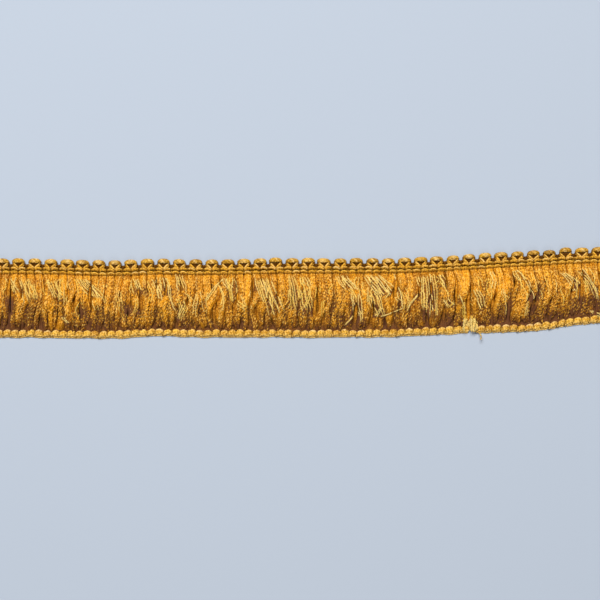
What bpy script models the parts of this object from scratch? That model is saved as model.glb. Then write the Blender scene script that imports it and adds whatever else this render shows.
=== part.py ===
"""Brush fringe trim, a cut length lying face up on its back.

Units are metres and +Z is up. +X runs along the trim, +Y points from the brush to the scalloped
edge, and +Z points out of its face. The origin is the middle of the heading's back, where the
trim is sewn or glued on. Every piece is shaped along a straight trim first and then laid in the
slight bends that the trim lies in.
"""

import math
import random
from collections import namedtuple

import bmesh
import bpy

MM = 0.001

# Driving sizes: the repeat along the trim, and its width from the scallops to the hem
SCALLOP_COUNT = 38
SCALLOP_PITCH = 7.75 * MM
TRIM_WIDTH = 38.0 * MM
SCALLOP_TOP = 5.8 * MM
PIECE_GAP = 0.3 * MM

# The gimp cord that makes the scallops: it is fattest over an arch and thinner in its legs, which
# stand upright by a share from 0, for a plain wave, to 1
CORD_ARCH_RADIUS = 1.25 * MM
CORD_LEG_RADIUS = 1.0 * MM
CORD_CENTRE_HEIGHT = 1.5 * MM
LEG_UPRIGHTNESS = 0.8
CORD_POINTS_PER_SCALLOP = 8

# The crocheted band: two rows of stitches, one stitch for each leg of the gimp cord
BAND_HALF_WIDTH = 1.9 * MM
BAND_SCALLOP_DEPTH = 0.25 * MM
STITCH_ROWS = 2
STITCH_CREST = 3.2 * MM
STITCH_VALLEY = 2.3 * MM
BAND_EDGE = 1.9 * MM
STITCH_ARCH = 0.5 * MM

# The holding chain along the hem
CHAIN_CREST_RADIUS = 1.65 * MM
CHAIN_NECK_RADIUS = 0.95 * MM
CHAIN_POINTS_PER_STITCH = 3
CHAIN_STRAY = 0.15 * MM

# The strip that the brush is fused into, and the parting round each root
ROOT_STRIP_DEPTH = 0.8 * MM
ROOT_STRIP_HEIGHT = 2.4 * MM
ROOT_PARTING = 0.25 * MM

# The stitch where the chain has come undone, and how far its lock reaches through the chain
BROKEN_STITCH = 59
LOOSE_LOCK_REACH = 1.9 * MM

# Sizes that follow from the driving ones
STITCH_COUNT = 2 * SCALLOP_COUNT
STITCH_PITCH = SCALLOP_PITCH / 2
TRIM_LENGTH = SCALLOP_COUNT * SCALLOP_PITCH
CORD_TOP_LINE = SCALLOP_TOP - CORD_ARCH_RADIUS
CORD_LOW_LINE = BAND_HALF_WIDTH - 2 * BAND_SCALLOP_DEPTH + PIECE_GAP + CORD_LEG_RADIUS
HEM_BOTTOM = SCALLOP_TOP - TRIM_WIDTH
CHAIN_LINE = HEM_BOTTOM + CHAIN_CREST_RADIUS
BRUSH_TOP = -BAND_HALF_WIDTH - PIECE_GAP
BRUSH_ROOT = BRUSH_TOP - ROOT_STRIP_DEPTH
BRUSH_END = CHAIN_LINE + CHAIN_CREST_RADIUS + CHAIN_STRAY + PIECE_GAP

# How the trim lies, a row for each bend: the place along it, how far its heading and its hem are
# pushed across, how far its locks swing sideways, and how full the brush is. All but the last in mm.
Bend = namedtuple("Bend", "along heading hem swing fullness")
BENDS = (
    Bend(-148, -0.2, 0.0, 0.3, 0.95),
    Bend(-116, -0.5, -0.2, 1.0, 1.04),
    Bend(-92, -1.1, -0.5, -0.6, 0.92),
    Bend(-68, -0.5, 0.6, 1.2, 1.05),
    Bend(-44, -0.7, 0.0, -1.1, 0.94),
    Bend(-20, -0.3, 0.1, 0.4, 1.02),
    Bend(0, 0.0, 0.0, 0.9, 0.95),
    Bend(24, 0.0, 0.1, -0.5, 1.03),
    Bend(48, 0.2, 0.4, -1.0, 0.96),
    Bend(72, 1.3, 1.6, 0.5, 1.05),
    Bend(96, 2.8, 2.4, 1.1, 0.97),
    Bend(115, 3.8, 3.3, 0.4, 1.04),
    Bend(130, 4.7, 5.6, -0.4, 0.98),
    Bend(148, 5.3, 7.2, 0.2, 1.0),
)

# A lock of the brush, a row for each of its cross-sections from just under its root to its tip: how
# far down the brush, its width, and the under and upper side of the front lock and the top of the
# back lock, which lies on the table. The first column is a share and the rest are in mm.
LockSection = namedtuple("LockSection", "down width front_low front_high back_high")
LOCK_SECTIONS = (
    LockSection(0.09, 3.1, 2.5, 5.0, 2.1),
    LockSection(0.36, 3.1, 3.5, 7.3, 3.1),
    LockSection(0.70, 3.0, 3.0, 6.0, 2.6),
    LockSection(1.00, 2.8, 1.8, 3.1, 1.4),
)
LAYERS = ("back", "front")

# How a lock is shaped and how much it differs from the next: its crown's share of its width, and
# in mm its sideways stray, the roll of its crown to one side and the rise or fall of that crown
LOCK_CROWN = 0.6
LOCK_STRAY = 0.08
LOCK_ROLL = 0.45
LOCK_RISE = 0.4

Paint = namedtuple("Paint", "colour roughness")
CORD_PAINT = Paint((0.52, 0.26, 0.035), 0.5)
BAND_PAINT = Paint((0.50, 0.24, 0.03), 0.55)
BRUSH_PAINT = Paint((0.62, 0.31, 0.035), 0.45)
CHAIN_PAINT = Paint((0.70, 0.38, 0.06), 0.5)


def clear_scene():
    """Remove the startup objects."""
    for obj in list(bpy.data.objects):
        bpy.data.objects.remove(obj, do_unlink=True)


def between(rows, column, place, value):
    """Read a column of a table at a place, on a smooth curve through its rows."""
    places = [getattr(row, place) for row in rows]
    values = [getattr(row, column) for row in rows]
    last = len(rows) - 1
    value = min(max(value, places[0]), places[-1])
    left = max(i for i in range(last) if places[i] <= value)

    def slope(i):
        before, after = max(i - 1, 0), min(i + 1, last)
        return (values[after] - values[before]) / (places[after] - places[before])

    span = places[left + 1] - places[left]
    t = (value - places[left]) / span
    rise = values[left + 1] - values[left]
    start, end = slope(left) * span, slope(left + 1) * span
    return values[left] + t * start + t * t * (3 * rise - 2 * start - end) + t**3 * (start + end - 2 * rise)


def bend_at(x, column):
    """One column of the table of bends, at a place along the trim."""
    return between(BENDS, column, "along", x / MM)


def lay(x, y):
    """Where a point of the straight trim comes to lie, across the trim."""
    reach = min(max((BRUSH_TOP - y) / (BRUSH_TOP - CHAIN_LINE), 0.0), 1.0)
    heading, hem = bend_at(x, "heading") * MM, bend_at(x, "hem") * MM
    return y + heading + (hem - heading) * reach


def unevenness(number, what):
    """A repeatable value from -1 to 1, for one of many like pieces and for what varies in it."""
    return random.Random(f"{what} {number}").uniform(-1.0, 1.0)


def painted(name, paint):
    """A plain material of that colour and roughness."""
    material = bpy.data.materials.new(name)
    material.use_nodes = True
    shader = material.node_tree.nodes["Principled BSDF"]
    shader.inputs["Base Color"].default_value = (*paint.colour, 1.0)
    shader.inputs["Roughness"].default_value = paint.roughness
    shader.inputs["Metallic"].default_value = 0.0
    material.diffuse_color = (*paint.colour, 1.0)
    return material


def add_piece(collection, name, data, paint):
    """An object for one piece of the trim."""
    obj = bpy.data.objects.new(name, data)
    data.materials.append(painted(name, paint))
    collection.objects.link(obj)
    return obj


def corded_line(name, points, radii, thickness):
    """A round cord through points, as a curve of straight steps with closed ends."""
    curve = bpy.data.curves.new(name, "CURVE")
    curve.dimensions = "3D"
    curve.bevel_depth = thickness
    curve.bevel_resolution = 1
    curve.use_fill_caps = True
    spline = curve.splines.new("POLY")
    spline.points.add(len(points) - 1)
    for point, place, radius in zip(spline.points, points, radii):
        point.co = (*place, 1.0)
        point.radius = radius / thickness
    return curve


def gimp_cord(collection):
    """The serpentine cord: an arch for each scallop, and a bend under each valley between two."""
    steps = CORD_POINTS_PER_SCALLOP
    sway = LEG_UPRIGHTNESS * SCALLOP_PITCH / (4 * math.pi)
    middle = (CORD_TOP_LINE + CORD_LOW_LINE) / 2
    amplitude = (CORD_TOP_LINE - CORD_LOW_LINE) / 2
    points, radii = [], []
    for i in range(1, SCALLOP_COUNT * steps):
        turn = 2 * math.pi * i / steps
        x = -TRIM_LENGTH / 2 + SCALLOP_PITCH * i / steps + sway * math.sin(2 * turn)
        arch = (1 - math.cos(turn)) / 2
        y = middle - amplitude * math.cos(turn)
        points.append((x, lay(x, y), CORD_CENTRE_HEIGHT))
        radii.append(CORD_LEG_RADIUS + (CORD_ARCH_RADIUS - CORD_LEG_RADIUS) * arch)
    curve = corded_line("gimp_cord", points, radii, CORD_ARCH_RADIUS)
    return add_piece(collection, "gimp_cord", curve, CORD_PAINT)


def heading_band(collection):
    """The crocheted band, with each stitch raised in its face and a flat back."""
    lines = 2 * STITCH_ROWS
    bm = bmesh.new()
    bmesh.ops.create_grid(bm, x_segments=2 * STITCH_COUNT, y_segments=lines, size=1.0)
    top = list(bm.faces)
    solid = bmesh.ops.extrude_face_region(bm, geom=top)
    back = {v for v in solid["geom"] if isinstance(v, bmesh.types.BMVert)}
    for vertex in bm.verts:
        along, across = vertex.co.x, vertex.co.y
        x = along * TRIM_LENGTH / 2
        on_stitch = round((along + 1) * STITCH_COUNT) % 2 == 1
        line = round((across + 1) * lines / 2)
        y = across * BAND_HALF_WIDTH
        if 0 < line < lines:
            y += STITCH_ARCH / 2 if on_stitch else -STITCH_ARCH / 2
        if line == lines:
            y -= BAND_SCALLOP_DEPTH * (1 + math.cos(2 * math.pi * (x + TRIM_LENGTH / 2) / SCALLOP_PITCH))
        if vertex in back:
            height = 0.0
        elif line in (0, lines):
            height = BAND_EDGE
        elif on_stitch and line % 2 == 1:
            height = STITCH_CREST
        else:
            height = STITCH_VALLEY
        vertex.co = (x, lay(x, y), height)
    inner = [
        edge
        for edge in bm.edges
        if all(v in back for v in edge.verts)
        and len(edge.link_faces) == 2
        and all(all(v in back for v in face.verts) for face in edge.link_faces)
        and abs(edge.verts[0].co.x - edge.verts[1].co.x) > STITCH_PITCH / 4
    ]
    bmesh.ops.dissolve_edges(bm, edges=inner, use_verts=True)
    bmesh.ops.recalc_face_normals(bm, faces=bm.faces)
    mesh = bpy.data.meshes.new("heading_band")
    bm.to_mesh(mesh)
    bm.free()
    return add_piece(collection, "heading_band", mesh, BAND_PAINT)


def lock_corners(column, layer, section):
    """The corners of a lock's cross-section, by side and height, as (x, y, z) before it is laid."""
    home = (column + 0.5) * STITCH_PITCH - TRIM_LENGTH / 2
    free = math.sin(math.pi * section.down)
    x = home + MM * free * (bend_at(home, "swing") + LOCK_STRAY * unevenness(column, layer))
    y = BRUSH_ROOT + (BRUSH_END - BRUSH_ROOT) * section.down
    full = 1 + (bend_at(home, "fullness") - 1) * free
    half = section.width * MM / 2
    crown = half * (1 - (1 - LOCK_CROWN) * min(2 * section.down, 1.0))
    roll = rise = 0.0
    if layer == "back":
        if column < STITCH_COUNT - 1:
            x += STITCH_PITCH / 2 * math.sin(math.pi * min(section.down, 0.5))
        low, high = 0.0, section.back_high * MM * full
    else:
        low, high = section.front_low * MM * full, section.front_high * MM * full
        rise = LOCK_RISE * MM * free * unevenness(column, "rise")
        roll = LOCK_ROLL * MM * free * unevenness(column, "roll")
        if column == BROKEN_STITCH and section is LOCK_SECTIONS[-1]:
            y -= LOOSE_LOCK_REACH
    return {
        ("left", "low"): (x - half, y, low),
        ("right", "low"): (x + half, y, low),
        ("left", "high"): (x - crown, y, high + rise + roll),
        ("right", "high"): (x + crown, y, high + rise - roll),
    }


def brush(collection):
    """The brush: locks drawn out of the lower face of the strip that holds their roots."""
    rows = len(LAYERS)
    bm = bmesh.new()
    bmesh.ops.create_grid(bm, x_segments=STITCH_COUNT, y_segments=rows, size=1.0)
    roots = list(bm.faces)
    solid = bmesh.ops.extrude_face_region(bm, geom=roots)
    behind = {v for v in solid["geom"] if isinstance(v, bmesh.types.BMVert)}
    for vertex in bm.verts:
        x = vertex.co.x * TRIM_LENGTH / 2
        height = (vertex.co.y + 1) / 2 * ROOT_STRIP_HEIGHT
        y = BRUSH_TOP if vertex in behind else BRUSH_ROOT
        vertex.co = (x, lay(x, y), height)
    bmesh.ops.recalc_face_normals(bm, faces=bm.faces)
    bmesh.ops.inset_individual(bm, faces=roots, thickness=ROOT_PARTING, use_even_offset=True)
    for root in roots:
        centre = root.calc_center_median()
        column = int((centre.x + TRIM_LENGTH / 2) / STITCH_PITCH)
        layer = LAYERS[int(centre.z / (ROOT_STRIP_HEIGHT / rows))]
        tip = root
        for section in LOCK_SECTIONS:
            middle = tip.calc_center_median()
            tip = bmesh.ops.extrude_discrete_faces(bm, faces=[tip])["faces"][0]
            corners = lock_corners(column, layer, section)
            for vertex in tip.verts:
                side = "right" if vertex.co.x > middle.x else "left"
                height = "high" if vertex.co.z > middle.z else "low"
                x, y, z = corners[side, height]
                vertex.co = (x, lay(x, y), z)
    bmesh.ops.recalc_face_normals(bm, faces=bm.faces)
    mesh = bpy.data.meshes.new("brush")
    bm.to_mesh(mesh)
    bm.free()
    return add_piece(collection, "brush", mesh, BRUSH_PAINT)


def holding_chain(collection, name, first, last):
    """A run of the chain along the hem, from the first to the last stitch, fat in each stitch."""
    steps = CHAIN_POINTS_PER_STITCH
    points, radii = [], []
    for i in range((last - first + 1) * steps + 1):
        x = -TRIM_LENGTH / 2 + (first + i / steps) * STITCH_PITCH
        y = CHAIN_LINE + CHAIN_STRAY * unevenness(i // steps, name)
        points.append((x, lay(x, y), CHAIN_CREST_RADIUS))
        radii.append(CHAIN_NECK_RADIUS if i % steps == 0 else CHAIN_CREST_RADIUS)
    curve = corded_line(name, points, radii, CHAIN_CREST_RADIUS)
    return add_piece(collection, name, curve, CHAIN_PAINT)


def main():
    """Build the trim, a node for each of its pieces."""
    clear_scene()
    collection = bpy.data.collections.new("brush_fringe_trim")
    bpy.context.scene.collection.children.link(collection)
    gimp_cord(collection)
    heading_band(collection)
    brush(collection)
    holding_chain(collection, "holding_chain_left", 0, BROKEN_STITCH - 1)
    holding_chain(collection, "holding_chain_right", BROKEN_STITCH + 1, STITCH_COUNT - 1)


main()
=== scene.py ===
"""Dresses the brush fringe trim in its yarns.

The trim lies face up on its back. +X runs along it, +Y points across it from the brush to the
scallops, +Z points out of its face, and the origin is the middle of the heading's back. Every
strand is laid out along a straight trim first, in metres, and then moved across by the slight
bends that the trim lies in.
"""

import logging
import math
from collections.abc import Iterable, Sequence
from dataclasses import dataclass
from enum import Enum
from functools import cached_property

import bpy
import numpy as np
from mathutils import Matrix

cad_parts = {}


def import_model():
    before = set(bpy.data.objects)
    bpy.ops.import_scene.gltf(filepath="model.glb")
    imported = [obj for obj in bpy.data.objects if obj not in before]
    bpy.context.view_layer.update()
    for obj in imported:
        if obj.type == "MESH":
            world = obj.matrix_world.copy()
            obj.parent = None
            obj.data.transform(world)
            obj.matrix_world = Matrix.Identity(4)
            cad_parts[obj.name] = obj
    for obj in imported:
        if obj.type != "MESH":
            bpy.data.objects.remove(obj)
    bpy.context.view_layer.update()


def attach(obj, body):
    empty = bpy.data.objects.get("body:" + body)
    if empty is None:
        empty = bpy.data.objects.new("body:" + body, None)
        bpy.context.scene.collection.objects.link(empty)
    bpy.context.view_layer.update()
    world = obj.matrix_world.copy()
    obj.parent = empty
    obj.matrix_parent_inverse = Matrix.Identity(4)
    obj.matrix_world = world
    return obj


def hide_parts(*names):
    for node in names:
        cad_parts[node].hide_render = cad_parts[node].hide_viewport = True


MM = 0.001
TURN = 2 * math.pi
Colour = tuple[float, float, float]
Socket = bpy.types.NodeSocket
log = logging.getLogger("brush_fringe_trim")


class Ply(Enum):
    """The two ways that plies can be twisted round each other."""

    S = -1
    Z = 1


@dataclass(frozen=True)
class Bend:
    """One place along the trim and how the trim lies there, in millimetres but for the last.

    The heading and the hem are pushed across by their own amounts, the locks of the brush swing
    sideways, and fullness is the brush's height as a share of the usual one.
    """

    along: float
    heading: float
    hem: float
    swing: float
    fullness: float


@dataclass(frozen=True)
class Section:
    """One cross-section of the brush, at a share of the way down it, in millimetres.

    Crown is the height of the brush's face there, and tuft the radius of one tuft.
    """

    down: float
    crown: float
    tuft: float


class Profile:
    """A smooth curve through a short table of rows, read at any place."""

    def __init__(self, rows: Sequence[object], place: str) -> None:
        """Keep the rows.

        Args:
            rows: The table, in rising order of its place.
            place: The name of the field that says where each row holds.
        """
        self.rows = rows
        self.places = np.array([getattr(row, place) for row in rows])

    def read(self, column: str, at: np.ndarray) -> np.ndarray:
        """Read one field of the table.

        Args:
            column: The name of the field.
            at: The places to read it at, held to the table's first and last row.

        Returns:
            The field's value at each place.
        """
        values = np.array([getattr(row, column) for row in self.rows])
        last = len(values) - 1
        before = np.maximum(np.arange(last + 1) - 1, 0)
        after = np.minimum(np.arange(last + 1) + 1, last)
        slopes = (values[after] - values[before]) / (self.places[after] - self.places[before])
        at = np.clip(at, self.places[0], self.places[-1])
        left = np.clip(np.searchsorted(self.places, at, side="right") - 1, 0, last - 1)
        span = self.places[left + 1] - self.places[left]
        t = (at - self.places[left]) / span
        rise = values[left + 1] - values[left]
        start = slopes[left] * span
        end = slopes[left + 1] * span
        cubic = (3 * rise - 2 * start - end) + t * (start + end - 2 * rise)
        return values[left] + t * start + t * t * cubic


@dataclass(frozen=True)
class Trim:
    """The sizes that every part of the trim shares, and the way that it lies."""

    scallops: int = 38
    scallop_pitch: float = 7.75 * MM
    width: float = 38.0 * MM
    scallop_top: float = 5.8 * MM
    band_half: float = 1.9 * MM
    chain_radius: float = 1.65 * MM
    broken_stitch: int = 59
    bends: tuple[Bend, ...] = (
        Bend(-148, -0.2, 0.0, 0.3, 0.95),
        Bend(-116, -0.5, -0.2, 1.0, 1.04),
        Bend(-92, -1.1, -0.5, -0.6, 0.92),
        Bend(-68, -0.5, 0.6, 1.2, 1.05),
        Bend(-44, -0.7, 0.0, -1.1, 0.94),
        Bend(-20, -0.3, 0.1, 0.4, 1.02),
        Bend(0, 0.0, 0.0, 0.9, 0.95),
        Bend(24, 0.0, 0.1, -0.5, 1.03),
        Bend(48, 0.2, 0.4, -1.0, 0.96),
        Bend(72, 1.3, 1.6, 0.5, 1.05),
        Bend(96, 2.8, 2.4, 1.1, 0.97),
        Bend(115, 3.8, 3.3, 0.4, 1.04),
        Bend(130, 4.7, 5.6, -0.4, 0.98),
        Bend(148, 5.3, 7.2, 0.2, 1.0),
    )

    @property
    def length(self) -> float:
        """The trim's length."""
        return self.scallops * self.scallop_pitch

    @property
    def stitches(self) -> int:
        """How many stitches, and so locks, there are along the trim."""
        return 2 * self.scallops

    @property
    def pitch(self) -> float:
        """The length of one stitch."""
        return self.scallop_pitch / 2

    @property
    def chain_line(self) -> float:
        """Where the middle of the holding chain lies, across the trim."""
        return self.scallop_top - self.width + self.chain_radius

    def stitch_x(self, stitch: float) -> float:
        """The middle of a stitch along the trim."""
        return (stitch + 0.5) * self.pitch - self.length / 2

    def bend(self, column: str, x: np.ndarray) -> np.ndarray:
        """Read the table of bends.

        Args:
            column: The field to read.
            x: Places along the trim, in metres.

        Returns:
            The field at each place.
        """
        return Profile(self.bends, "along").read(column, np.asarray(x) / MM)

    def lay(self, points: np.ndarray) -> np.ndarray:
        """Move points of the straight trim to where they come to lie.

        Args:
            points: Points in rows of x, y and z.

        Returns:
            The same points, pushed across the trim by its bends.
        """
        x, y = points[:, 0], points[:, 1]
        brush_top = -self.band_half
        reach = np.clip((brush_top - y) / (brush_top - self.chain_line), 0.0, 1.0)
        heading = self.bend("heading", x) * MM
        hem = self.bend("hem", x) * MM
        laid = points.copy()
        laid[:, 1] = y + heading + (hem - heading) * reach
        return laid


@dataclass
class Strand:
    """One round strand: its points, its radius, and the tones that its finish reads.

    Tint runs from about -1, a darker strand, to 1, a lighter one, and also carries some painted
    light and shade across plies, crimps and beads. Depth is painted shade, 0 on the outside of the
    trim and 1 far inside it. Pale is 1 on a strand that has lost its colour, and it also carries
    painted highlights on the upper sides of plies, stitches and beads.
    """

    points: np.ndarray
    radius: np.ndarray | float
    tint: float = 0.0
    depth: np.ndarray | float = 0.0
    pale: np.ndarray | float = 0.0


def twisted(
    path: np.ndarray, count: int, circle: float | np.ndarray, lead: float, phase: float, ply: Ply
) -> list[np.ndarray]:
    """Lay plies round a path as a twisted cord has them.

    Args:
        path: The cord's middle line.
        count: How many plies there are.
        circle: How far each ply's middle is from the cord's.
        lead: The length of cord in which a ply goes once round.
        phase: The angle of the first ply at the path's start.
        ply: Which way they are twisted.

    Returns:
        The middle line of each ply.
    """
    step = np.gradient(path, axis=0)
    tangent = step / np.linalg.norm(step, axis=1, keepdims=True)
    run = np.concatenate([[0.0], np.cumsum(np.linalg.norm(np.diff(path, axis=0), axis=1))])
    side = np.cross(np.array([0.0, 0.0, 1.0]), tangent)
    side /= np.linalg.norm(side, axis=1, keepdims=True)
    up = np.cross(tangent, side)
    plies = []
    for number in range(count):
        angle = (phase + TURN * (number / count + ply.value * run / lead))[:, None]
        plies.append(path + circle * (np.cos(angle) * side + np.sin(angle) * up))
    return plies


def dip(line: np.ndarray, path: np.ndarray, circle: float | np.ndarray) -> np.ndarray:
    """How far a ply lies down the side of its twist, from 0 on top to 1 underneath."""
    return np.clip(0.5 - 0.5 * (line[:, 2] - path[:, 2]) / circle, 0.0, 1.0)


def wave(rng: np.random.Generator, at: np.ndarray, fastest: float) -> np.ndarray:
    """A smooth random curve between about -1 and 1.

    Args:
        rng: Where its randomness comes from.
        at: The places to read it at, from 0 to 1.
        fastest: How many times it swings at most.

    Returns:
        Its value at each place.
    """
    total = np.zeros_like(at)
    for share in (0.35, 0.65, 1.0):
        total += np.sin(TURN * (share * fastest * at * rng.uniform(0.7, 1.3) + rng.random()))
    return total / 2


def ease(at: np.ndarray, start: float, end: float) -> np.ndarray:
    """Rise smoothly from 0 at the start to 1 at the end."""
    t = np.clip((at - start) / (end - start), 0.0, 1.0)
    return t * t * (3 - 2 * t)


class Loom:
    """Turns strands into one closed mesh, each strand a round tube with closed ends."""

    TONES = ("radius", "along", "lot", "tint", "depth", "pale")

    def __init__(self) -> None:
        """Make the node group that sweeps a ring along each strand."""
        self.group = bpy.data.node_groups.new("strand_sweep", "GeometryNodeTree")
        face = self.group.interface
        face.new_socket(name="Geometry", in_out="INPUT", socket_type="NodeSocketGeometry")
        sides = face.new_socket(name="Sides", in_out="INPUT", socket_type="NodeSocketInt")
        face.new_socket(name="Geometry", in_out="OUTPUT", socket_type="NodeSocketGeometry")
        self.sides_socket = sides.identifier
        nodes = self.group.nodes
        source = nodes.new("NodeGroupInput")
        result = nodes.new("NodeGroupOutput")
        to_curve = nodes.new("GeometryNodeMeshToCurve")
        radius = nodes.new("GeometryNodeInputNamedAttribute")
        radius.data_type = "FLOAT"
        radius.inputs["Name"].default_value = "radius"
        ring = nodes.new("GeometryNodeCurvePrimitiveCircle")
        ring.inputs["Radius"].default_value = 1.0
        place = nodes.new("GeometryNodeInputPosition")
        store = nodes.new("GeometryNodeStoreNamedAttribute")
        store.data_type = "FLOAT_VECTOR"
        store.domain = "POINT"
        store.inputs["Name"].default_value = "ring"
        sweep = nodes.new("GeometryNodeCurveToMesh")
        sweep.inputs["Fill Caps"].default_value = True
        smooth = nodes.new("GeometryNodeSetShadeSmooth")
        joins = (
            (source, "Geometry", to_curve, "Mesh"),
            (to_curve, "Curve", sweep, "Curve"),
            (radius, "Attribute", sweep, "Scale"),
            (source, "Sides", ring, "Resolution"),
            (ring, "Curve", store, "Geometry"),
            (place, "Position", store, "Value"),
            (store, "Geometry", sweep, "Profile Curve"),
            (sweep, "Mesh", smooth, "Geometry"),
            (smooth, "Geometry", result, "Geometry"),
        )
        for giver, output, taker, socket in joins:
            self.group.links.new(giver.outputs[output], taker.inputs[socket])

    def weave(self, name: str, strands: Iterable[Strand], sides: int) -> bpy.types.Object:
        """Make one piece of many strands.

        Args:
            name: The piece's name.
            strands: Its strands, in the trim's frame.
            sides: How many sides each strand has.

        Returns:
            The piece, a mesh at the origin.
        """
        strands = list(strands)
        points = np.concatenate([strand.points for strand in strands])
        counts = [len(strand.points) for strand in strands]
        firsts = np.cumsum([0, *counts[:-1]])
        runs = [np.arange(first, first + count - 1) for first, count in zip(firsts, counts)]
        starts = np.concatenate(runs)
        edges = np.column_stack([starts, starts + 1])
        mesh = bpy.data.meshes.new(name)
        mesh.vertices.add(len(points))
        mesh.vertices.foreach_set("co", points.astype(np.float32).ravel())
        mesh.edges.add(len(edges))
        mesh.edges.foreach_set("vertices", edges.astype(np.int32).ravel())
        for tone in self.TONES:
            layer = mesh.attributes.new(tone, "FLOAT", "POINT")
            values = np.concatenate([self.tone(strand, tone, lot) for lot, strand in enumerate(strands)])
            layer.data.foreach_set("value", values.astype(np.float32))
        piece = bpy.data.objects.new(name, mesh)
        bpy.context.scene.collection.objects.link(piece)
        bpy.ops.object.select_all(action="DESELECT")
        bpy.context.view_layer.objects.active = piece
        piece.select_set(True)
        sweep = piece.modifiers.new("sweep", "NODES")
        sweep.node_group = self.group
        sweep[self.sides_socket] = sides
        bpy.ops.object.modifier_apply(modifier=sweep.name)
        return piece

    @staticmethod
    def tone(strand: Strand, name: str, lot: int) -> np.ndarray:
        """One of a strand's tones, at each of its points.

        Args:
            strand: The strand.
            name: The tone, or along for its own length, or lot for a number of its own.
            lot: Which strand of its piece it is.

        Returns:
            The values.
        """
        if name == "along":
            steps = np.linalg.norm(np.diff(strand.points, axis=0), axis=1)
            return np.concatenate([[0.0], np.cumsum(steps)])
        value = lot * 0.618 % 1.0 if name == "lot" else getattr(strand, name)
        return np.broadcast_to(value, len(strand.points))


class YarnShader:
    """A yarn's material in the making, its nodes added a value at a time."""

    def __init__(self, name: str) -> None:
        """Start from a plain material.

        Args:
            name: The material's name.
        """
        self.material = bpy.data.materials.new(name)
        self.material.use_nodes = True
        self.nodes = self.material.node_tree.nodes
        self.surface = self.nodes["Principled BSDF"]

    def put(self, socket: Socket, value: Socket | float | Colour) -> None:
        """Join a socket to a value, or set it to a number or a colour.

        Args:
            socket: The input socket.
            value: What it is to have.
        """
        if isinstance(value, Socket):
            self.material.node_tree.links.new(value, socket)
        else:
            socket.default_value = (*value, 1.0) if isinstance(value, tuple) else value

    def attribute(self, name: str, output: str = "Fac") -> Socket:
        """Read one of the strands' attributes.

        Args:
            name: The attribute.
            output: Fac for a number, or Vector for a direction.

        Returns:
            Its value.
        """
        node = self.nodes.new("ShaderNodeAttribute")
        node.attribute_name = name
        return node.outputs[output]

    def maths(self, kind: str, *values: Socket | float) -> Socket:
        """Work out one number from others.

        Args:
            kind: The Math node's operation.
            values: What it works on.

        Returns:
            The result.
        """
        node = self.nodes.new("ShaderNodeMath")
        node.operation = kind
        for socket, value in zip(node.inputs, values):
            self.put(socket, value)
        return node.outputs["Value"]

    def added(self, total: Socket | float, *terms: tuple[Socket, float]) -> Socket:
        """Add a share of each term to a value.

        Args:
            total: The value.
            terms: The terms, each with its share.

        Returns:
            The sum.
        """
        for term, share in terms:
            total = self.maths("MULTIPLY_ADD", term, share, total)
        return total

    def blend(self, share: Socket, low: Socket | Colour, high: Colour) -> Socket:
        """Mix two colours.

        Args:
            share: How much of the second colour there is, which is held between 0 and 1.
            low: The first colour.
            high: The second colour.

        Returns:
            The mixture.
        """
        held = self.nodes.new("ShaderNodeClamp")
        self.put(held.inputs["Value"], share)
        node = self.nodes.new("ShaderNodeMix")
        node.data_type = "RGBA"
        self.put(node.inputs["Factor"], held.outputs["Result"])
        self.put(node.inputs[6], low)
        self.put(node.inputs[7], high)
        return node.outputs[2]

    def noise(self, at: Socket, size: float, detail: float) -> Socket:
        """Make noise about 0.

        Args:
            at: Where it is read.
            size: The size of its specks.
            detail: How many finer layers it has.

        Returns:
            Its value.
        """
        node = self.nodes.new("ShaderNodeTexNoise")
        self.put(node.inputs["Scale"], 1.0 / size)
        self.put(node.inputs["Detail"], detail)
        self.put(node.inputs["Vector"], at)
        return self.maths("SUBTRACT", node.outputs["Fac"], 0.5)


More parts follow.
